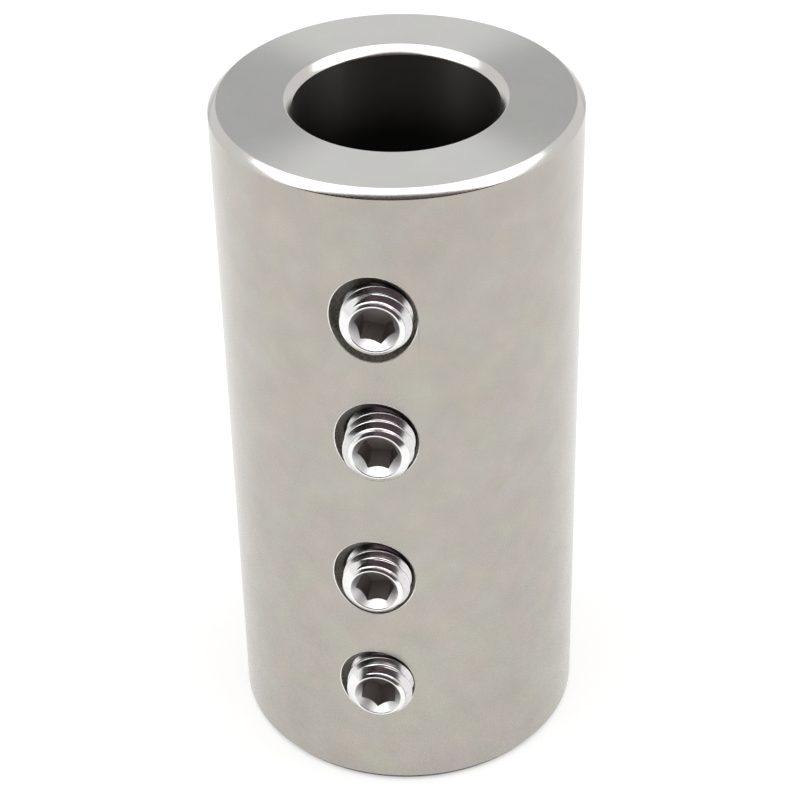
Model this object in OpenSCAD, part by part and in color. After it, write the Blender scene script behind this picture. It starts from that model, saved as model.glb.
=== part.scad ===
/* [Sleeve] */
// Outside diameter of the sleeve
sleeve_d = 33.3; // [29:0.1:40]
// Length of the sleeve from end face to end face
sleeve_length = 67.1; // [61:0.1:120]
// Diameter of the bore, the same from end to end
bore_d = 18.4; // [10:0.1:22]
// Chamfer round the outside of each end
end_chamfer = 0.7; // [0.2:0.05:2]
// Chamfer at each mouth of the bore
bore_chamfer = 0.7; // [0.2:0.05:2]

/* [Places of the screws] */
// Distance from each end face to the nearest screw
outer_screw_inset = 12.7; // [8:0.1:15]
// Distance between the two screws of a pair
screw_spacing = 13; // [9.5:0.1:15.5]
// Turn of the lower pair round the sleeve, away from the upper pair
pair_turn = 2.1; // [0:0.1:30]
// Sideways offset of the countersinks from their holes
countersink_aside = 0.4; // [0:0.05:0.6]

/* [Thread] */
// Diameter over the crests of a screw's thread
thread_d = 6.35; // [5.8:0.05:7.5]
// Distance from one thread ridge to the next
thread_pitch = 1.27; // [0.8:0.01:1.6]
// Gap all round between a screw's thread and its tapped hole
thread_clearance = 0.08; // [0.04:0.01:0.15]

/* [Set screws] */
// Length of a set screw from its socket end to its cup point
screw_length = 7.94; // [7:0.01:10]
// Width of the hexagon socket across its flats
socket_across_flats = 3.175; // [2.4:0.005:3.5]
// Depth of the hexagon socket below the screw's end
socket_depth = 3.4; // [2:0.1:3.8]
// Reach of the socket's countersink beyond the corners of the hexagon
socket_countersink = 0.4; // [0.1:0.05:0.5]
// Full angle of the socket's countersink
socket_countersink_angle = 80; // [76:1:130]
// Flat rim between the socket's countersink and the end chamfer
socket_rim = 0.15; // [0.05:0.01:0.25]
// Length of the chamfer from the rim down to the full thread
screw_end_chamfer = 0.7; // [0.6:0.05:1.3]
// Diameter of the sharp rim of the cup point
cup_d = 3.4; // [2:0.1:4.5]
// Full angle of the cone inside the cup point
cup_angle = 118; // [90:1:140]

/* [Upper outer screw] */
// Gap between its cup point and the wall of the bore
upper_outer_back_off = 0.95; // [0.2:0.05:3]
// Turn of its hexagon socket
upper_outer_socket_turn = -14; // [-30:1:30]
// Width of the countersunk ring round its thread
upper_outer_ring = 1.2; // [0.4:0.05:1.8]

/* [Upper inner screw] */
// Gap between its cup point and the wall of the bore
upper_inner_back_off = 1.65; // [0.2:0.05:3]
// Turn of its hexagon socket
upper_inner_socket_turn = 1; // [-30:1:30]
// Width of the countersunk ring round its thread
upper_inner_ring = 1.1; // [0.4:0.05:1.8]

/* [Lower inner screw] */
// Gap between its cup point and the wall of the bore
lower_inner_back_off = 1.25; // [0.2:0.05:3]
// Turn of its hexagon socket
lower_inner_socket_turn = 6; // [-30:1:30]
// Width of the countersunk ring round its thread
lower_inner_ring = 1.15; // [0.4:0.05:1.8]

/* [Lower outer screw] */
// Gap between its cup point and the wall of the bore
lower_outer_back_off = 1.25; // [0.2:0.05:3]
// Turn of its hexagon socket
lower_outer_socket_turn = 27; // [-30:1:30]
// Width of the countersunk ring round its thread
lower_outer_ring = 0.85; // [0.4:0.05:1.8]

/* [Hidden] */
$fn = 96;
// Cuts run this far past the faces that they open
overrun = 1;

sleeve_r = sleeve_d / 2;
bore_r = bore_d / 2;
half_length = sleeve_length / 2;

outer_height = half_length - outer_screw_inset;
inner_height = outer_height - screw_spacing;

// A 60 degree thread with a crest of an eighth of the pitch and a root of a third
thread_r = thread_d / 2;
crest_flat = thread_pitch / 8;
root_flat = thread_pitch / 3;
flank_run = (thread_pitch - crest_flat - root_flat) / 2;
thread_depth = flank_run / tan(30);

socket_corner_r = socket_across_flats / 2 / cos(30);
socket_mouth_r = socket_corner_r + socket_countersink;
face_r = socket_mouth_r + socket_rim;
socket_mouth_depth = socket_mouth_r / tan(socket_countersink_angle / 2);
cup_r = cup_d / 2;
cup_depth = cup_r / tan(cup_angle / 2);

// Each place: height above the sleeve's middle, turn round the sleeve, gap between the cup point
// and the bore, turn of the socket, and width of the countersunk ring
UPPER_OUTER = [outer_height, 0, upper_outer_back_off, upper_outer_socket_turn, upper_outer_ring];
UPPER_INNER = [inner_height, 0, upper_inner_back_off, upper_inner_socket_turn, upper_inner_ring];
LOWER_INNER = [-inner_height, pair_turn, lower_inner_back_off, lower_inner_socket_turn, lower_inner_ring];
LOWER_OUTER = [-outer_height, pair_turn, lower_outer_back_off, lower_outer_socket_turn, lower_outer_ring];
PLACES = [UPPER_OUTER, UPPER_INNER, LOWER_INNER, LOWER_OUTER];

function height_of(place) = place[0];
function turn_of(place) = place[1];
function back_off_of(place) = place[2];
function socket_turn_of(place) = place[3];
function ring_of(place) = place[4];

// Puts its children on a screw's axis: their Z runs outwards from the axis of the sleeve
module on_screw_axis(place) {
    translate([0, 0, height_of(place)])
        rotate([90, 0, -turn_of(place)])
            children();
}

// One pitch of the thread's outline, from the start of its root to the end of its crest
function ridge_points(ridge, crest_r) =
    let (start = ridge * thread_pitch, root_r = crest_r - thread_depth)
    [
        [root_r, start],
        [root_r, start + root_flat],
        [crest_r, start + root_flat + flank_run],
        [crest_r, start + root_flat + flank_run + crest_flat]
    ];

// Half section of a threaded rod that runs outwards from the sleeve's axis. The ridges lie at
// the same distances from that axis in a screw and in its hole, so the two always mesh.
module thread_section(crest_r, reach) {
    ridges = ceil(reach / thread_pitch);
    polygon([
        [0, 0],
        for (ridge = [0 : ridges - 1], point = ridge_points(ridge, crest_r)) point,
        [crest_r - thread_depth, ridges * thread_pitch],
        [0, ridges * thread_pitch]
    ]);
}

// Half section of a set screw before its thread is cut: cup point, shank and chamfered end
module blank_section(tip) {
    face = tip + screw_length;
    polygon([
        [0, tip + cup_depth],
        [cup_r, tip],
        [thread_r, tip + thread_r - cup_r],
        [thread_r, face - screw_end_chamfer],
        [face_r, face],
        [0, face]
    ]);
}

// Cold-formed hexagon with a flat bottom and a countersunk mouth
module hexagon_socket(face, turn) {
    cone_height = socket_mouth_depth + overrun;
    translate([0, 0, face - socket_depth])
        rotate([0, 0, turn])
            cylinder(r = socket_corner_r, h = socket_depth + overrun, $fn = 6);
    translate([0, 0, face - socket_mouth_depth])
        cylinder(r1 = 0, r2 = cone_height * tan(socket_countersink_angle / 2), h = cone_height);
}

// Socket set screw with a cup point, standing in its tapped hole
module set_screw(place) {
    tip = bore_r + back_off_of(place);
    face = tip + screw_length;
    on_screw_axis(place)
        difference() {
            rotate_extrude()
                intersection() {
                    blank_section(tip);
                    thread_section(thread_r, face + thread_pitch);
                }
            hexagon_socket(face, socket_turn_of(place));
        }
}

// Tapped hole from the bore to the outside, with a 90 degree countersink. The ring's width is the
// countersink's reach past the thread, measured where the sleeve's surface is highest.
module tapped_hole(place) {
    countersink_r = thread_r + ring_of(place);
    on_screw_axis(place) {
        rotate_extrude()
            thread_section(thread_r + thread_clearance, sleeve_r + overrun);
        translate([-countersink_aside, 0, sleeve_r - countersink_r])
            cylinder(r1 = 0, r2 = countersink_r + overrun, h = countersink_r + overrun);
    }
}

// Turned tube, chamfered outside and at the mouths of its bore
module turned_tube() {
    rotate_extrude()
        polygon([
            [bore_r, -half_length + bore_chamfer],
            [bore_r + bore_chamfer, -half_length],
            [sleeve_r - end_chamfer, -half_length],
            [sleeve_r, -half_length + end_chamfer],
            [sleeve_r, half_length - end_chamfer],
            [sleeve_r - end_chamfer, half_length],
            [bore_r + bore_chamfer, half_length],
            [bore_r, half_length - bore_chamfer]
        ]);
}

module sleeve() {
    color([0.73, 0.7, 0.66])
        difference() {
            turned_tube();
            for (place = PLACES)
                tapped_hole(place);
        }
}

module upper_outer_screw() {
    color([0.85, 0.84, 0.83])
        set_screw(UPPER_OUTER);
}

module upper_inner_screw() {
    color([0.85, 0.84, 0.83])
        set_screw(UPPER_INNER);
}

module lower_inner_screw() {
    color([0.85, 0.84, 0.83])
        set_screw(LOWER_INNER);
}

module lower_outer_screw() {
    color([0.85, 0.84, 0.83])
        set_screw(LOWER_OUTER);
}

sleeve();
upper_outer_screw();
upper_inner_screw();
lower_inner_screw();
lower_outer_screw();
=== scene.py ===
# %% [markdown]
# # A rigid shaft coupling, dressed in Blender
#
# A rigid shaft coupling is a thick steel sleeve. Two shafts go in, one from each end, and four
# set screws hold them. The CAD model already has the right sizes. This lesson models each piece
# again with the fine detail that a camera sees: real helical threads, softened edges and the
# different finishes that turning, drilling, reaming and rolling leave on steel.
#
# The first cell loads the imported CAD model, so that its sizes can be read from it.

# %% Load the imported model
import math

import bmesh
import bpy
from mathutils import Matrix, Vector


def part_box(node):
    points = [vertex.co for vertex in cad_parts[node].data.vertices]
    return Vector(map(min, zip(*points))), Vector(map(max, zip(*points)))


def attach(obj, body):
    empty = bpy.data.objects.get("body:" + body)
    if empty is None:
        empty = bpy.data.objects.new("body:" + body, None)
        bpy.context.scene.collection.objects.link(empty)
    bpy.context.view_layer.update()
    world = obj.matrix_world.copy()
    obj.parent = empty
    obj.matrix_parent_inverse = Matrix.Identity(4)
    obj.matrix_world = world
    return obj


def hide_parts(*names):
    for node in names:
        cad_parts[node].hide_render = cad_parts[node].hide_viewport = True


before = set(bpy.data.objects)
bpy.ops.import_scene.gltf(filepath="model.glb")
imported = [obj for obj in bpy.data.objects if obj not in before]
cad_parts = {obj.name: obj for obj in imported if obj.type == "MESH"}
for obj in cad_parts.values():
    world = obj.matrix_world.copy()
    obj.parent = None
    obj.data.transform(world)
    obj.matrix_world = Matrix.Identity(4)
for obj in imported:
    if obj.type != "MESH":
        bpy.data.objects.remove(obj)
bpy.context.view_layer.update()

MM = 0.001

# %% [markdown]
# ## Sizes
#
# Whatever the CAD nodes can tell is read from them: the sleeve's radius and length, each screw's
# height, and how far its outer end stands from the sleeve's axis. Typing those again would let
# the two models drift apart. Only what a box can't tell is written here, such as the bore, the
# chamfers and the shape of the thread.

# %% Sizes of the sleeve
sleeve_low, sleeve_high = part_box("sleeve")
SLEEVE_R = sleeve_high.x
HALF_LENGTH = sleeve_high.z
BORE_R = 9.2 * MM
CHAMFER = 0.7 * MM
SOFTENING = 0.05 * MM
print("Sleeve in mm:", round(2 * SLEEVE_R / MM, 2), "by", round(2 * HALF_LENGTH / MM, 2))

# %% Sizes of the thread
PITCH = 1.27 * MM
THREAD_R = 3.175 * MM
THREAD_CLEARANCE = 0.08 * MM
CREST_FLAT = PITCH / 8
ROOT_FLAT = PITCH / 3
FLANK_RUN = (PITCH - CREST_FLAT - ROOT_FLAT) / 2
FLANK_ANGLE = math.radians(30)
THREAD_DEPTH = FLANK_RUN / math.tan(FLANK_ANGLE)
ROOT_ROUNDING = 0.25 * MM
CREST_ROUNDING = 0.08 * MM
print("Thread depth in mm:", round(THREAD_DEPTH / MM, 3))

# %% Sizes of a set screw
SCREW_LENGTH = 7.94 * MM
END_CHAMFER = 0.7 * MM
CUP_R = 1.7 * MM
CUP_HALF_ANGLE = math.radians(59)
CUP_DEPTH = CUP_R / math.tan(CUP_HALF_ANGLE)

HEXAGON_FLATS = 3.175 * MM
HEXAGON_CORNER_R = HEXAGON_FLATS / 2 / math.cos(math.radians(30))
SOCKET_DEPTH = 3.4 * MM
MOUTH_HALF_ANGLE = math.radians(38)
SOCKET_MOUTH_R = HEXAGON_CORNER_R + 0.4 * MM
SOCKET_MOUTH_DEPTH = SOCKET_MOUTH_R / math.tan(MOUTH_HALF_ANGLE)
RIM_R = SOCKET_MOUTH_R + 0.15 * MM
print("Socket mouth in mm:", round(2 * SOCKET_MOUTH_R / MM, 2), "across")

# %% [markdown]
# ## Where the screws stand
#
# Each screw has its own turn round the sleeve, its own turn of the hexagon and of the thread, and
# its own countersink, because nobody sets four screws alike. They could be modelled in place, but
# a screw is far easier to draw upright on the Z axis, with its outer end at zero. A small matrix
# then takes it to its hole.

# %% The four places
PLACES = {
    "upper_outer_screw": {"turn": 0.0, "socket_turn": -14, "thread_turn": 190, "ring": 1.2 * MM},
    "upper_inner_screw": {"turn": 0.0, "socket_turn": 1, "thread_turn": 294, "ring": 1.1 * MM},
    "lower_inner_screw": {"turn": 2.1, "socket_turn": 6, "thread_turn": 187, "ring": 1.15 * MM},
    "lower_outer_screw": {"turn": 2.1, "socket_turn": 27, "thread_turn": 174, "ring": 0.85 * MM},
}


def outwards(turn):
    """Direction in which a screw points, turned round the sleeve by so many degrees."""
    angle = math.radians(turn)
    return Vector((-math.sin(angle), -math.cos(angle), 0))


for node, place in PLACES.items():
    low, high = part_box(node)
    along = outwards(place["turn"])
    place["height"] = (low.z + high.z) / 2
    place["face"] = max(v.co.dot(along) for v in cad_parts[node].data.vertices)
    print(node, "height", round(place["height"] / MM, 2), "face", round(place["face"] / MM, 2))


def place_matrix(place, distance):
    """Takes the Z axis to a screw's axis, at a distance from the axis of the sleeve."""
    spot = outwards(place["turn"]) * distance + Vector((0, 0, place["height"]))
    turned = Matrix.Rotation(-math.radians(place["turn"]), 4, "Z")
    return Matrix.Translation(spot) @ turned @ Matrix.Rotation(math.radians(90), 4, "X")


# %% [markdown]
# ## The camera
#
# The camera comes early, because it says what will be seen. It stands a little to the right of
# the screws and looks down on them, at the height and distance that the outline of the sleeve
# asks for. Its three angles are written apart, so that each can be changed alone.

# %% Camera
CAMERA_TURN = math.radians(7.44)
CAMERA_DISTANCE = 186.18 * MM
CAMERA_HEIGHT = 133.97 * MM
CAMERA_PITCH = 0.6214
CAMERA_YAW = -0.0016
CAMERA_ROLL = -0.0234

camera = bpy.data.objects.new("camera", bpy.data.cameras.new("camera"))
bpy.context.scene.collection.objects.link(camera)
camera.location = (
    CAMERA_DISTANCE * math.sin(CAMERA_TURN),
    -CAMERA_DISTANCE * math.cos(CAMERA_TURN),
    CAMERA_HEIGHT,
)
facing = Matrix.Rotation(CAMERA_TURN - CAMERA_YAW, 3, "Z")
tilted = Matrix.Rotation(math.pi / 2 - CAMERA_PITCH, 3, "X")
rolled = Matrix.Rotation(CAMERA_ROLL, 3, "Z")
camera.rotation_euler = (facing @ tilted @ rolled).to_euler()
camera.data.sensor_width = 36
camera.data.lens = 107.46
camera.data.clip_start = 10 * MM
camera.data.clip_end = 20
bpy.context.scene.camera = camera
print("Camera at", [round(c / MM, 1) for c in camera.location], "mm")

# %% [markdown]
# ## Selecting by place
#
# An operator acts on whatever is selected, so each step starts with nothing selected. By hand,
# faces and edges are picked with a click. Here a small question is put to each of them, such as
# whether it points up, and those that answer yes are selected. That way the pick still works when
# a size changes.

# %% Helpers for selecting
def start_fresh():
    """Leaves edit mode and deselects everything."""
    if bpy.context.object and bpy.context.object.mode != "OBJECT":
        bpy.ops.object.mode_set(mode="OBJECT")
    bpy.ops.object.select_all(action="DESELECT")


def take(piece):
    """Selects one piece alone and makes it active."""
    start_fresh()
    piece.select_set(True)
    bpy.context.view_layer.objects.active = piece


def edit(piece):
    """Opens one piece in edit mode."""
    take(piece)
    bpy.ops.object.mode_set(mode="EDIT")


def pick(piece, kind, wanted):
    """Selects the faces or edges for which wanted() is true, in edit mode, and counts them."""
    bpy.ops.mesh.select_mode(type={"faces": "FACE", "edges": "EDGE"}[kind])
    bpy.ops.mesh.select_all(action="DESELECT")
    mesh = bmesh.from_edit_mesh(piece.data)
    count = 0
    for element in getattr(mesh, kind):
        if wanted(element):
            element.select_set(True)
            count += 1
    mesh.select_flush_mode()
    bmesh.update_edit_mesh(piece.data)
    return count


def report(piece):
    """Prints how many faces a piece has, whether it is closed, and its volume."""
    mesh = bmesh.new()
    mesh.from_mesh(piece.data)
    open_edges = sum(not edge.is_manifold for edge in mesh.edges)
    volume = round(mesh.calc_volume(signed=True) / MM**3, 1)
    print(piece.name, len(mesh.faces), "faces,", open_edges, "open edges,", volume, "mm3")
    mesh.free()


# %% [markdown]
# ## Finishes
#
# Everything here is bare stainless steel, and still no two faces look the same, because each tool
# leaves its own surface. An image could show that, but it would stretch over the threads and
# show its pixels close by. So a finish is a metal shader with three procedural layers on it:
# broad cloudy patches of slightly different grey, a speckled gloss with a fine bump, and where a
# tool went round, grooves that draw the highlights out along its path. All of them read Object
# coordinates, so the pattern stays on the steel from whatever side it is seen.
#
# A real coupling is wiped with oil before it is packed. The film option adds it as a thin clear
# coat. It hardly shows from straight on and whitens the sleeve towards its outline.

# %% The layers of a finish
COAT_ROUGHNESS = 0.15
CLOUD_SATURATION = 0.35
GRAIN_SCALE = 6000.0
GRAIN_HEIGHT = 0.01 * MM


def add_node(tree, kind, **inputs):
    """Adds a shader node and fills in its inputs by name."""
    node = tree.nodes.new(kind)
    for name, value in inputs.items():
        node.inputs[name.replace("_", " ")].default_value = value
    return node


def cloudy_colour(tree, place, colour, cloud, scale, contrast):
    """A socket with the colour, overlaid with patches that are a little lighter and darker."""
    link = tree.links.new
    patches = add_node(tree, "ShaderNodeTexNoise", Scale=scale, Detail=2.0, Roughness=0.5)
    link(place, patches.inputs["Vector"])
    softer = add_node(tree, "ShaderNodeHueSaturation", Saturation=CLOUD_SATURATION)
    link(patches.outputs["Color"], softer.inputs["Color"])
    stronger = add_node(tree, "ShaderNodeBrightContrast", Contrast=contrast)
    link(softer.outputs["Color"], stronger.inputs["Color"])
    tint = add_node(tree, "ShaderNodeMix")
    tint.data_type = "RGBA"
    tint.blend_type = "OVERLAY"
    tint.inputs[0].default_value = cloud
    tint.inputs[6].default_value = (*colour, 1)
    link(stronger.outputs["Color"], tint.inputs[7])
    return tint.outputs[2]


def speckle_gloss(tree, place, shader, roughness, grain, bump):
    """Varies a shader's roughness from speck to speck, and raises the specks a little."""
    link = tree.links.new
    speckle = add_node(tree, "ShaderNodeTexNoise", Scale=GRAIN_SCALE, Detail=3.0, Roughness=0.6)
    link(place, speckle.inputs["Vector"])
    rough = add_node(tree, "ShaderNodeMapRange")
    rough.inputs["To Min"].default_value = roughness * (1 - grain)
    rough.inputs["To Max"].default_value = roughness * (1 + grain)
    link(speckle.outputs["Fac"], rough.inputs["Value"])
    link(rough.outputs["Result"], shader.inputs["Roughness"])
    relief = add_node(tree, "ShaderNodeBump", Strength=bump, Distance=GRAIN_HEIGHT)
    link(speckle.outputs["Fac"], relief.inputs["Height"])
    link(relief.outputs["Normal"], shader.inputs["Normal"])


def groove_round_z(tree, shader, grooves):
    """Draws a shader's highlights out, as grooves that run round the Z axis do."""
    shader.inputs["Anisotropic"].default_value = grooves
    shader.inputs["Anisotropic Rotation"].default_value = 0.25
    along = add_node(tree, "ShaderNodeTangent")
    along.direction_type = "RADIAL"
    along.axis = "Z"
    tree.links.new(along.outputs["Tangent"], shader.inputs["Tangent"])


def steel_finish(
    name, colour, roughness, cloud=0.06, cloud_scale=260, grain=0.2, bump=0.1, grooves=0.0,
    film=0.0, metal=1.0, contrast=0.0,
):
    """Bare steel: cloudy colour, speckled gloss, grooves round the Z axis, and a film of oil."""
    material = bpy.data.materials.new(name)
    material.use_nodes = True
    tree = material.node_tree
    shader = tree.nodes["Principled BSDF"]
    shader.inputs["Metallic"].default_value = metal
    shader.inputs["Coat Weight"].default_value = film
    shader.inputs["Coat Roughness"].default_value = COAT_ROUGHNESS
    place = add_node(tree, "ShaderNodeTexCoord").outputs["Object"]
    clouds = cloudy_colour(tree, place, colour, cloud, cloud_scale, contrast)
    tree.links.new(clouds, shader.inputs["Base Color"])
    speckle_gloss(tree, place, shader, roughness, grain, bump)
    if grooves:
        groove_round_z(tree, shader, grooves)
    return material


# %% [markdown]
# The bore is darker away from its ends, and this is painted shade: the colour itself fades, as
# shade falls deeper down a bore. The height above or below the middle says how far the nearest
# end is, and the finish keeps only a share of its brightness beyond it.

# %% Painted shade that grows with depth
def paint_shade_with_depth(material, shade_starts, shade_full, left):
    """Paints shade: fades a finish to a share of its brightness, shade_starts to shade_full metres
    below an end.
    """
    tree = material.node_tree
    shader = tree.nodes["Principled BSDF"]
    link = tree.links.new
    place = add_node(tree, "ShaderNodeTexCoord").outputs["Object"]
    parts = add_node(tree, "ShaderNodeSeparateXYZ")
    link(place, parts.inputs[0])
    height = add_node(tree, "ShaderNodeMath")
    height.operation = "ABSOLUTE"
    link(parts.outputs["Z"], height.inputs[0])
    share = add_node(tree, "ShaderNodeMapRange")
    share.interpolation_type = "SMOOTHSTEP"
    share.inputs["From Min"].default_value = HALF_LENGTH - shade_full
    share.inputs["From Max"].default_value = HALF_LENGTH - shade_starts
    share.inputs["To Min"].default_value = left
    link(height.outputs[0], share.inputs["Value"])
    mix = add_node(tree, "ShaderNodeMix")
    mix.data_type = "RGBA"
    mix.inputs[6].default_value = (0, 0, 0, 1)
    link(share.outputs["Result"], mix.inputs[0])
    link(shader.inputs["Base Color"].links[0].from_socket, mix.inputs[7])
    link(mix.outputs[2], shader.inputs["Base Color"])


# %% [markdown]
# The sleeve's own finishes come first. The side was ground and is the most cloudy. The ends were
# faced on the lathe and have its grooves, the chamfers were turned with a finer cut, and the
# reamer left the bore smooth, its colour painted darker than clean steel as shade. The
# countersinks are scaly, because a drill tears more than it cuts, and their worn rims carry a
# painted highlight.

# %% Finishes of the sleeve and its holes
ground_side = steel_finish(
    "ground_side", (0.42, 0.393, 0.350), 0.28, cloud=0.14, grooves=0.25, film=0.45, contrast=0.3
)
faced_end = steel_finish("faced_end", (0.43, 0.428, 0.416), 0.5, grooves=0.9)
turned_chamfer = steel_finish("turned_chamfer", (0.54, 0.525, 0.50), 0.17)
# Painted shade: the bore's colour is darker than clean steel and fades further with depth.
reamed_bore = steel_finish("reamed_bore", (0.165, 0.157, 0.149), 0.34, grooves=0.9)
paint_shade_with_depth(reamed_bore, shade_starts=3.5 * MM, shade_full=9.5 * MM, left=0.2)
drilled_countersink = steel_finish(
    "drilled_countersink", (0.135, 0.126, 0.108), 0.45,
    cloud=0.8, cloud_scale=9000, bump=0.4, contrast=4.0,
)
# Near-white rim finish: real wear, and a painted highlight for the thin bright line.
wear_and_highlight = steel_finish("wear_and_highlight", (0.95, 0.94, 0.92), 0.4)
tapped_thread = steel_finish("tapped_thread", (0.15, 0.14, 0.13), 0.3)
print(len(bpy.data.materials), "materials in the file")

# %% [markdown]
# The screws are brighter than the sleeve, because rolling and polishing press their surface
# smooth. The crests of the thread are rubbed brightest. The punch leaves the walls of the socket
# duller, and its floor, which holds some black scale, is no full metal.

# %% Finishes of the screws
polished_end = steel_finish(
    "polished_end", (0.84, 0.83, 0.82), 0.18, cloud=0.3, cloud_scale=3000, contrast=1.0
)
drilled_mouth = steel_finish("drilled_mouth", (0.82, 0.81, 0.80), 0.36)
rolled_thread = steel_finish(
    "rolled_thread", (0.67, 0.655, 0.655), 0.2, cloud=0.3, cloud_scale=3000, contrast=1.0
)
worn_crest = steel_finish("worn_crest", (0.90, 0.89, 0.89), 0.2)
broached_socket = steel_finish("broached_socket", (0.53, 0.50, 0.48), 0.3)
socket_floor = steel_finish("socket_floor", (0.60, 0.56, 0.54), 0.6, metal=0.5)
print(len(bpy.data.materials), "materials in the file")


def give_finishes(piece, *finishes):
    """Fills a piece's material slots, in order."""
    piece.data.materials.clear()
    for finish in finishes:
        piece.data.materials.append(finish)


# %% [markdown]
# ## The turned sleeve
#
# On the lathe the sleeve starts as a bar. It could be spun from half a section, as the screws
# will be, but the lathe's own way is as short: a cylinder with many sides has both ends inset,
# the two inner discs are bridged into the bore, and the four rims are bevelled. A second, tiny
# bevel softens each edge, as a file or a tumbling drum does, so that it catches a line of light.

# %% Bar, bore and chamfers
SIDES = 288
start_fresh()
bpy.ops.mesh.primitive_cylinder_add(vertices=SIDES, radius=SLEEVE_R, depth=2 * HALF_LENGTH)
sleeve = bpy.context.object
sleeve.name = "turned_sleeve"
edit(sleeve)
pick(sleeve, "faces", lambda face: abs(face.normal.z) > 0.9)
bpy.ops.mesh.inset(thickness=SLEEVE_R - BORE_R, use_individual=True)
bpy.ops.mesh.bridge_edge_loops()


def on_a_rim(edge):
    """True for an edge that lies in an end face and follows one of its two circles."""
    first, second = (vert.co for vert in edge.verts)
    in_an_end = abs(first.z + second.z) > 2 * HALF_LENGTH - SOFTENING
    return in_an_end and abs(first.xy.length - second.xy.length) < SOFTENING


rims = pick(sleeve, "edges", on_a_rim)
bpy.ops.mesh.bevel(offset=CHAMFER, offset_type="OFFSET", segments=1, affect="EDGES")
print(rims, "rim edges bevelled")


# %% Softened corners
def is_sharp_turn(edge):
    """True for an edge between two faces of the profile, such as a chamfer and an end face."""
    return len(edge.link_faces) == 2 and edge.calc_face_angle() > math.radians(20)


corners = pick(sleeve, "edges", is_sharp_turn)
bpy.ops.mesh.bevel(offset=SOFTENING, offset_type="OFFSET", segments=2, affect="EDGES")
bpy.ops.object.mode_set(mode="OBJECT")
print(corners, "corner edges softened")
report(sleeve)

# %% [markdown]
# Each face then gets the finish of the tool that made it. Painting them by hand would take a
# click for each of thousands, and the faces know their tool anyway: the way they point tells an
# end from a side, and their distance from the axis tells the bore from the outside.

# %% Which tool made which face
GROUND, FACED, TURNED, REAMED = range(4)
give_finishes(sleeve, ground_side, faced_end, turned_chamfer, reamed_bore)
for face in sleeve.data.polygons:
    upright = abs(face.normal.z)
    if upright > 0.99:
        face.material_index = FACED
    elif upright > 0.02:
        face.material_index = TURNED
    elif face.center.xy.length < BORE_R + SOFTENING:
        face.material_index = REAMED
    else:
        face.material_index = GROUND
bored = sum(face.material_index == REAMED for face in sleeve.data.polygons)
print(bored, "faces of the bore are reamed")

# %% [markdown]
# ## The thread
#
# A thread is one tooth, drawn once and carried round and up. A bump in the material would look
# like a thread from afar, but its outline would stay straight, and the light on the flanks would
# be wrong. So the tooth is an outline of a few short lines, and the Screw modifier turns it round
# the axis while it rises by one pitch a turn. The turns are welded to each other, and two cuts
# with bisect give the rod flat ends. The same helper makes the rod for the screws and, a little
# wider, the tap for the holes.

# %% Helpers for drawing an outline
def apply_modifier(piece, kind, **settings):
    """Adds a modifier with these settings and applies it."""
    take(piece)
    modifier = piece.modifiers.new(kind.title(), kind)
    for name, value in settings.items():
        setattr(modifier, name, value)
    bpy.ops.object.modifier_apply(modifier=modifier.name)


def draw_outline(name, points):
    """Draws half a section in the XZ plane: one corner, extruded from point to point."""
    start_fresh()
    bpy.ops.mesh.primitive_plane_add(size=MM)
    outline = bpy.context.object
    outline.name = name
    bpy.ops.object.mode_set(mode="EDIT")
    bpy.ops.mesh.select_mode(type="VERT")
    bpy.ops.mesh.select_all(action="SELECT")
    bpy.ops.mesh.merge(type="CENTER")
    bpy.ops.transform.translate(value=(points[0][0], 0, points[0][1]))
    for (r0, z0), (r1, z1) in zip(points, points[1:]):
        step = (r1 - r0, 0, z1 - z0)
        bpy.ops.mesh.extrude_region_move(TRANSFORM_OT_translate={"value": step})
    bpy.ops.object.mode_set(mode="OBJECT")
    return outline


def weld():
    """Merges doubled points of the piece in edit mode."""
    bpy.ops.mesh.select_all(action="SELECT")
    bpy.ops.mesh.remove_doubles(threshold=0.002 * MM)


def face_outwards():
    """Turns the faces of the piece in edit mode outwards."""
    bpy.ops.mesh.select_all(action="SELECT")
    bpy.ops.mesh.normals_make_consistent(inside=False)


# %% One tooth
def arc(middle_r, middle_z, radius, first, last):
    """Points of a small arc, twenty degrees apart. Zero degrees points away from the axis."""
    step = 20 if last > first else -20
    angles = [math.radians(angle) for angle in range(first, last + step, step)]
    return [(middle_r + radius * math.cos(a), middle_z + radius * math.sin(a)) for a in angles]


def tooth_points(crest_r, start):
    """One pitch of the outline: a rounded root, a flank, a rounded crest, and back down."""
    root_r = crest_r - THREAD_DEPTH
    flank = start + ROOT_FLAT
    crest = flank + FLANK_RUN
    root_reach = ROOT_ROUNDING * math.tan(FLANK_ANGLE)
    crest_reach = CREST_ROUNDING * math.tan(FLANK_ANGLE)
    in_root = root_r + ROOT_ROUNDING
    in_crest = crest_r - CREST_ROUNDING
    return [
        (root_r, start + root_reach),
        *arc(in_root, flank - root_reach, ROOT_ROUNDING, 180, 120),
        *arc(in_crest, crest + crest_reach, CREST_ROUNDING, -60, 0),
        *arc(in_crest, crest + CREST_FLAT - crest_reach, CREST_ROUNDING, 0, 60),
        *arc(in_root, start + PITCH + root_reach, ROOT_ROUNDING, 240, 180),
    ]


print(len(tooth_points(THREAD_R, 0)), "points in one tooth")

# %% One threaded rod
THREAD_STEPS = 96
CUT_THRESHOLD = 0.0001 * MM


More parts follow.
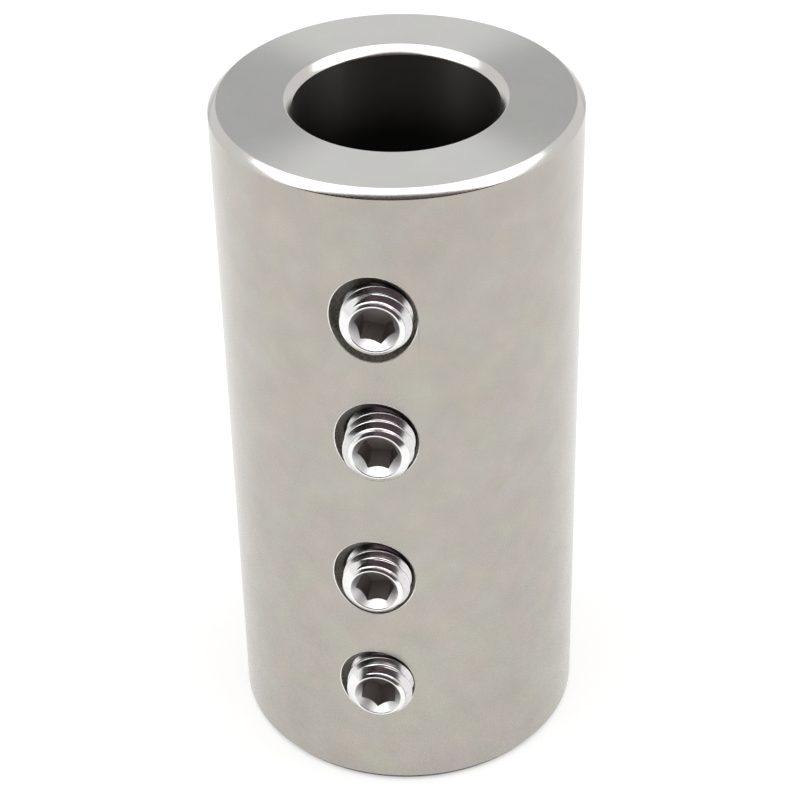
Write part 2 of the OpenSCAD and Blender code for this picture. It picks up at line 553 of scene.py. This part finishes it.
def threaded_rod(name, crest_r, bottom, top, finish, crest_finish):
    """A rod with a right-hand thread from bottom to top, with flat ends."""
    turns = math.ceil((top - bottom) / PITCH) + 3
    start = (math.floor(bottom / PITCH) - 1) * PITCH
    rod = draw_outline(name, tooth_points(crest_r, start))
    apply_modifier(
        rod, "SCREW", axis="Z", angle=math.tau, steps=THREAD_STEPS, render_steps=THREAD_STEPS,
        iterations=turns, screw_offset=PITCH,
    )
    edit(rod)
    weld()
    cut = {"plane_no": (0, 0, 1), "use_fill": True, "threshold": CUT_THRESHOLD}
    bpy.ops.mesh.select_all(action="SELECT")
    bpy.ops.mesh.bisect(plane_co=(0, 0, bottom), clear_inner=True, **cut)
    bpy.ops.mesh.select_all(action="SELECT")
    bpy.ops.mesh.bisect(plane_co=(0, 0, top), clear_outer=True, **cut)
    face_outwards()
    bpy.ops.object.mode_set(mode="OBJECT")
    give_finishes(rod, finish, crest_finish)
    for face in rod.data.polygons:
        nearest = min(rod.data.vertices[v].co.xy.length for v in face.vertices)
        if nearest > crest_r - CREST_ROUNDING:
            face.material_index = 1
    report(rod)
    return rod


# %% [markdown]
# ## The set screw
#
# A screw starts as a turned blank. It could be cut from a cylinder with four tools, but one
# outline, spun round, gives all of it at once: the cup point, the shank, the chamfered outer end
# and the countersunk mouth of the socket with its rounded lip. The shank is a little too thick on
# purpose, because the thread is still to come.

# %% Screw blank
ROUND_STEPS = 128
LIP_ROUNDING = 0.15 * MM
LIP_R = SOCKET_MOUTH_R + LIP_ROUNDING * math.tan(math.radians(26))
SHANK_ALLOWANCE = 0.2 * MM
CORNER_CUT = 0.03 * MM


def lip_points():
    """The rounded lip between the flat rim and the mouth, from outside to inside."""
    points = []
    for angle in (90, 100, 110, 120, 130, 140):
        turned = math.radians(angle)
        height = LIP_ROUNDING * (math.sin(turned) - 1)
        points.append((LIP_R + LIP_ROUNDING * math.cos(turned), height))
    return points


def blank_outline():
    """Half section of the blank, with its outer end at zero and its corners eased."""
    beyond = THREAD_R + SHANK_ALLOWANCE
    chamfer_rise = END_CHAMFER / (THREAD_R - RIM_R)
    tip = -SCREW_LENGTH
    return [
        (0, tip + CUP_DEPTH),
        (CUP_R - CORNER_CUT, tip + CORNER_CUT * CUP_DEPTH / CUP_R),
        (CUP_R + CORNER_CUT, tip + CORNER_CUT),
        (beyond, tip + beyond - CUP_R),
        (beyond, -(beyond - RIM_R) * chamfer_rise),
        (RIM_R + CORNER_CUT, -CORNER_CUT * chamfer_rise),
        (RIM_R - CORNER_CUT / 2, 0),
        *lip_points(),
        (0, -SOCKET_MOUTH_DEPTH),
    ]


def spin_round(outline, steps):
    """Spins half a section round the Z axis into a closed solid."""
    edit(outline)
    bpy.ops.mesh.select_all(action="SELECT")
    bpy.ops.mesh.spin(steps=steps, angle=math.tau, center=(0, 0, 0), axis=(0, 0, 1))
    weld()
    face_outwards()
    bpy.ops.object.mode_set(mode="OBJECT")
    return outline


rod = threaded_rod("rod", THREAD_R, -SCREW_LENGTH - MM, MM, rolled_thread, worn_crest)
blank = spin_round(draw_outline("set_screw_blank", blank_outline()), ROUND_STEPS)
give_finishes(blank, polished_end, drilled_mouth)
for face in blank.data.polygons:
    in_mouth = face.center.z > -SOCKET_DEPTH and face.center.xy.length < HEXAGON_CORNER_R
    face.material_index = int(in_mouth)
report(blank)

# %% [markdown]
# ## The hexagon socket
#
# A punch forms the socket of a real screw, so its bottom is flat. It could be extruded inwards
# from the blank's end, but the mouth is a cone, and a hexagon meets a cone in curves that only a
# cut gives. So a tool cuts it: a hexagon with slightly eased corners. It is modelled once, and a
# copy is turned for each screw.

# %% Helper for putting a piece in its place
def settle(piece, matrix):
    """Moves a piece by a matrix and puts its place into its mesh."""
    start_fresh()
    piece.matrix_world = matrix
    piece.select_set(True)
    bpy.context.view_layer.objects.active = piece
    bpy.ops.object.transform_apply(location=True, rotation=True, scale=True)


# %% Socket tool
CORNER_EASE = 0.06 * MM
OVERRUN = 1.0 * MM
start_fresh()
bpy.ops.mesh.primitive_cylinder_add(
    vertices=6, radius=HEXAGON_CORNER_R, depth=SOCKET_DEPTH + OVERRUN,
    location=(0, 0, (OVERRUN - SOCKET_DEPTH) / 2),
)
hexagon_tool = bpy.context.object
hexagon_tool.name = "hexagon_tool"
settle(hexagon_tool, hexagon_tool.matrix_world @ Matrix.Rotation(math.radians(30), 4, "Z"))
edit(hexagon_tool)
pick(
    hexagon_tool, "edges",
    lambda edge: abs(edge.verts[0].co.z - edge.verts[1].co.z) > SOCKET_DEPTH,
)
bpy.ops.mesh.bevel(offset=CORNER_EASE, offset_type="OFFSET", segments=2, affect="EDGES")
bpy.ops.object.mode_set(mode="OBJECT")
give_finishes(hexagon_tool, broached_socket, socket_floor)
for face in hexagon_tool.data.polygons:
    face.material_index = int(face.normal.z < -0.9)
report(hexagon_tool)

# %% [markdown]
# ## Four screws
#
# Each copy of the blank gets its own hexagon. Then it is threaded: a Boolean keeps the part that
# the blank and the threaded rod have in common. A thread could also be wrapped round a finished
# shank, but only the cut leaves the teeth running out on the chamfer, as on a real screw. The rod
# is turned so that the thread starts where that screw's does.

# %% Helpers for copying and cutting
def copy_of(piece, name):
    """Copies a piece, with its own mesh."""
    take(piece)
    bpy.ops.object.duplicate(linked=False)
    copied = bpy.context.object
    copied.name = name
    return copied


def carve(piece, tool, operation):
    """Cuts a piece with a tool, which leaves its own finish on the faces that it makes."""
    apply_modifier(
        piece, "BOOLEAN", operation=operation, object=tool, solver="EXACT",
        material_mode="TRANSFER",
    )


# %% Copy, cut, thread and place the screws
screws = {}
for node, place in PLACES.items():
    screw = copy_of(blank, "set_" + node)
    key = copy_of(hexagon_tool, "key")
    settle(key, Matrix.Rotation(math.radians(place["socket_turn"]), 4, "Z"))
    carve(screw, key, "DIFFERENCE")
    die = copy_of(rod, "die")
    settle(die, Matrix.Rotation(math.radians(place["thread_turn"]), 4, "Z"))
    carve(screw, die, "INTERSECT")
    for tool in (key, die):
        bpy.data.objects.remove(tool)
    settle(screw, place_matrix(place, place["face"]))
    screws[node] = screw
    report(screw)

# %% [markdown]
# ## Tapped holes
#
# Before a hole is cut, the sleeve gets a ring of edges just above and just below it. A cut leaves
# long thin faces beside a hole, and their shading would draw a faint line down the whole sleeve.
# The rings keep such faces short.

# %% Rings of edges beside the holes
RING_MARGIN = 0.3 * MM
edit(sleeve)
for place in PLACES.values():
    reach = THREAD_R + place["ring"] + RING_MARGIN
    for height in (place["height"] - reach, place["height"] + reach):
        bpy.ops.mesh.select_all(action="SELECT")
        bpy.ops.mesh.bisect(
            plane_co=(0, 0, height), plane_no=(0, 0, 1), threshold=CUT_THRESHOLD
        )
bpy.ops.object.mode_set(mode="OBJECT")
report(sleeve)

# %% [markdown]
# Each hole is tapped by a rod like the screw's own, wider by the clearance and turned the same
# way, so that the two threads mesh. A plain hole would be simpler, but the first turns of the
# thread can be seen beside the screw. A countersink, a little to one side as a hand-held drill
# leaves it, opens the mouth.

# %% Tap and countersink
TAP_REACH = 12 * MM
COUNTERSINK_ASIDE = 0.4 * MM
tap = threaded_rod(
    "tap", THREAD_R + THREAD_CLEARANCE, -TAP_REACH, 0, tapped_thread, tapped_thread
)
for place in PLACES.values():
    this_tap = copy_of(tap, "this_tap")
    settle(this_tap, Matrix.Rotation(math.radians(place["thread_turn"]), 4, "Z"))
    settle(this_tap, place_matrix(place, place["face"]))
    carve(sleeve, this_tap, "DIFFERENCE")

    mouth_r = THREAD_R + place["ring"]
    cone = [(0, -mouth_r), (mouth_r + OVERRUN, OVERRUN), (0, OVERRUN)]
    sink = spin_round(draw_outline("sink", cone), ROUND_STEPS)
    give_finishes(sink, drilled_countersink)
    aside = Matrix.Translation((-COUNTERSINK_ASIDE, 0, 0))
    settle(sink, place_matrix(place, SLEEVE_R) @ aside)
    carve(sleeve, sink, "DIFFERENCE")
    for tool in (this_tap, sink):
        bpy.data.objects.remove(tool)
report(sleeve)

for tool in (rod, blank, tap, hexagon_tool):
    bpy.data.objects.remove(tool)

# %% [markdown]
# The rim of a countersink is where hands and keys rub. A real bevel turns towards the light, and
# its finish is painted near white, a painted highlight that draws the thin bright line. The rim is
# found by its two finishes: it is every edge where the ground side meets the drilled cone.

# %% Worn rims with a painted highlight
RIM_WEAR = 0.05 * MM


def on_a_countersink_rim(edge):
    """True for an edge where a countersink meets the outside of the sleeve."""
    finishes = {sleeve.data.materials[face.material_index].name for face in edge.link_faces}
    return finishes == {"ground_side", "drilled_countersink"}


sleeve.data.materials.append(wear_and_highlight)
edit(sleeve)
print(pick(sleeve, "edges", on_a_countersink_rim), "edges of the countersinks worn")
bpy.ops.mesh.bevel(
    offset=RIM_WEAR, offset_type="OFFSET", segments=1, affect="EDGES", loop_slide=False,
    material=len(sleeve.data.materials) - 1,
)
bpy.ops.object.mode_set(mode="OBJECT")
report(sleeve)

# %% [markdown]
# ## Smooth shading
#
# Faces that meet at a small angle are shaded as one round surface, and edges sharper than that
# stay crisp. The angle alone isn't enough, because a worn rim is shallower than it, so the edges
# where two finishes meet are marked sharp as well. The Weighted Normal modifier then lets the
# large faces decide, so that the slivers of a cut don't dent the reflections.
#
# Each piece is also attached to the body it rides on, and the CAD node that it stands for is
# hidden.

# %% Shade the pieces
ROUND_BELOW = math.radians(28)


def finishes_meet(edge):
    """True for an edge where two faces with different finishes meet."""
    return len({face.material_index for face in edge.link_faces}) > 1


for piece in (sleeve, *screws.values()):
    take(piece)
    bpy.ops.object.shade_smooth_by_angle(angle=ROUND_BELOW)
    edit(piece)
    marked = pick(piece, "edges", finishes_meet)
    bpy.ops.mesh.mark_sharp()
    bpy.ops.object.mode_set(mode="OBJECT")
    apply_modifier(piece, "WEIGHTED_NORMAL", keep_sharp=True)
    print(piece.name, marked, "edges between two finishes")

# %% Attach the pieces
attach(sleeve, "root")
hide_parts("sleeve")
for node, screw in screws.items():
    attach(screw, "root")
    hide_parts(node)
print(1 + len(screws), "pieces attached")

# %% [markdown]
# ## Floor and walls
#
# Steel shows nothing but its surroundings, so the studio matters as much as the finishes. The
# coupling stands on white paper in a white room. A brighter lamp would make them white too, but
# it would also bleach the steel. So the room is white only for the camera and for reflections,
# and the paper gets a small glow in the same way, while the floor keeps the coupling's shadow.
#
# The paper doesn't glow right under the coupling. Its lower chamfer keeps the light out there, and
# that leaves the thin dark line that shows the coupling standing on something.

# %% Walls
SKY_LEVEL = 0.3


def seen_by_camera_or_metal(tree):
    """A socket that is 1 for camera, glossy and transmission rays and 0 for the rest."""
    path = add_node(tree, "ShaderNodeLightPath")
    either = add_node(tree, "ShaderNodeMath")
    either.operation = "MAXIMUM"
    tree.links.new(path.outputs["Is Camera Ray"], either.inputs[0])
    tree.links.new(path.outputs["Is Glossy Ray"], either.inputs[1])
    any_of = add_node(tree, "ShaderNodeMath")
    any_of.operation = "MAXIMUM"
    tree.links.new(either.outputs[0], any_of.inputs[0])
    tree.links.new(path.outputs["Is Transmission Ray"], any_of.inputs[1])
    return any_of.outputs[0]


bpy.context.scene.view_settings.view_transform = "Standard"
world = bpy.data.worlds.new("studio")
bpy.context.scene.world = world
world.use_nodes = True
sky = world.node_tree.nodes["Background"]
sky_colour = add_node(world.node_tree, "ShaderNodeMix")
sky_colour.data_type = "RGBA"
sky_colour.inputs[6].default_value = (SKY_LEVEL, SKY_LEVEL, SKY_LEVEL, 1)
sky_colour.inputs[7].default_value = (1, 1, 1, 1)
world.node_tree.links.new(seen_by_camera_or_metal(world.node_tree), sky_colour.inputs[0])
world.node_tree.links.new(sky_colour.outputs[2], sky.inputs["Color"])
print("Walls light the coupling with", SKY_LEVEL)

# %% Floor
PAPER_GLOW = 0.42
CONTACT_R = SLEEVE_R - CHAMFER + 0.2 * MM

start_fresh()
bpy.ops.mesh.primitive_plane_add(size=4, location=(0, 0, -HALF_LENGTH))
floor = bpy.context.object
floor.name = "floor"
settle(floor, floor.matrix_world.copy())

table_top = bpy.data.materials.new("table_top")
table_top.use_nodes = True
paper_tree = table_top.node_tree
paper = paper_tree.nodes["Principled BSDF"]
paper.inputs["Base Color"].default_value = (0.8, 0.8, 0.8, 1)
paper.inputs["Roughness"].default_value = 0.9
paper.inputs["Specular IOR Level"].default_value = 0.0
paper.inputs["Emission Color"].default_value = (1, 1, 1, 1)
lift = add_node(paper_tree, "ShaderNodeMath")
lift.operation = "MULTIPLY"
lift.inputs[1].default_value = PAPER_GLOW
paper_tree.links.new(seen_by_camera_or_metal(paper_tree), lift.inputs[0])

from_middle = add_node(paper_tree, "ShaderNodeVectorMath")
from_middle.operation = "DISTANCE"
from_middle.inputs[1].default_value = (0, 0, -HALF_LENGTH)
paper_place = add_node(paper_tree, "ShaderNodeTexCoord").outputs["Object"]
paper_tree.links.new(paper_place, from_middle.inputs[0])
outside = add_node(paper_tree, "ShaderNodeMath")
outside.operation = "GREATER_THAN"
outside.inputs[1].default_value = CONTACT_R
paper_tree.links.new(from_middle.outputs["Value"], outside.inputs[0])
glow = add_node(paper_tree, "ShaderNodeMath")
glow.operation = "MULTIPLY"
paper_tree.links.new(lift.outputs[0], glow.inputs[0])
paper_tree.links.new(outside.outputs[0], glow.inputs[1])
paper_tree.links.new(glow.outputs[0], paper.inputs["Emission Strength"])
floor.data.materials.append(table_top)
print("Paper is unlit within", round(CONTACT_R / MM, 2), "mm of the middle")

# %% [markdown]
# ## Lamp and card
#
# One wide soft lamp hangs level above the coupling and reaches a little to the front. The
# chamfers mirror it, and that is their white gleam. A small hard lamp would leave only sparks
# on them.
#
# In a white room the flanks of a thread all mirror white, and the thread is lost. Photographers
# help with a dark card, which here stands upright in front. Only reflections see it. It is black
# felt at one side and a dark mauve at the other, and it gives the threads their dark bands.

# %% Lamp
towards_camera = Matrix.Rotation(CAMERA_TURN, 4, "Z")


def soft_panel(name, width, depth, place, radiance):
    """A level lamp that shines down from its place, square to the camera."""
    panel = bpy.data.objects.new(name, bpy.data.lights.new(name, "AREA"))
    bpy.context.scene.collection.objects.link(panel)
    panel.data.shape = "RECTANGLE"
    panel.data.size = width
    panel.data.size_y = depth
    panel.data.energy = radiance * math.pi * width * depth
    panel.matrix_world = towards_camera @ Matrix.Translation(place)
    print(name, round(panel.data.energy, 2), "watts")


soft_panel("ceiling_panel", 1.45, 0.505, (0, -0.0625, 0.5), 1.7)

# %% Dark card
CARD_WIDTH, CARD_HEIGHT = 1.2, 0.6
CARD_PLACE = (0, -0.36, 0.27)
FELT = (0.006, 0.006, 0.006, 1)
MAUVE = (0.10, 0.070, 0.083, 1)
FELT_UP_TO, MAUVE_FROM = -0.14, -0.06

start_fresh()
bpy.ops.mesh.primitive_plane_add(size=1)
dark_card = bpy.context.object
dark_card.name = "dark_card"
upright = Matrix.Rotation(math.radians(90), 4, "X")
card_size = Matrix.Diagonal((CARD_WIDTH, CARD_HEIGHT, 1, 1))
settle(dark_card, towards_camera @ Matrix.Translation(CARD_PLACE) @ upright @ card_size)

black_felt = bpy.data.materials.new("black_felt")
black_felt.use_nodes = True
felt_tree = black_felt.node_tree
felt = felt_tree.nodes["Principled BSDF"]
felt.inputs["Specular IOR Level"].default_value = 0.0
sideways = add_node(felt_tree, "ShaderNodeSeparateXYZ")
felt_place = add_node(felt_tree, "ShaderNodeTexCoord").outputs["Object"]
felt_tree.links.new(felt_place, sideways.inputs[0])
across = add_node(felt_tree, "ShaderNodeMapRange")
across.inputs["From Min"].default_value = FELT_UP_TO
across.inputs["From Max"].default_value = MAUVE_FROM
felt_tree.links.new(sideways.outputs["X"], across.inputs["Value"])
shade = add_node(felt_tree, "ShaderNodeMix")
shade.data_type = "RGBA"
shade.inputs[6].default_value = FELT
shade.inputs[7].default_value = MAUVE
felt_tree.links.new(across.outputs["Result"], shade.inputs[0])
felt_tree.links.new(shade.outputs[2], felt.inputs["Base Color"])
dark_card.data.materials.append(black_felt)
dark_card.visible_camera = False
dark_card.visible_shadow = False
dark_card.visible_diffuse = False
print("Card stands", -CARD_PLACE[1], "m in front")
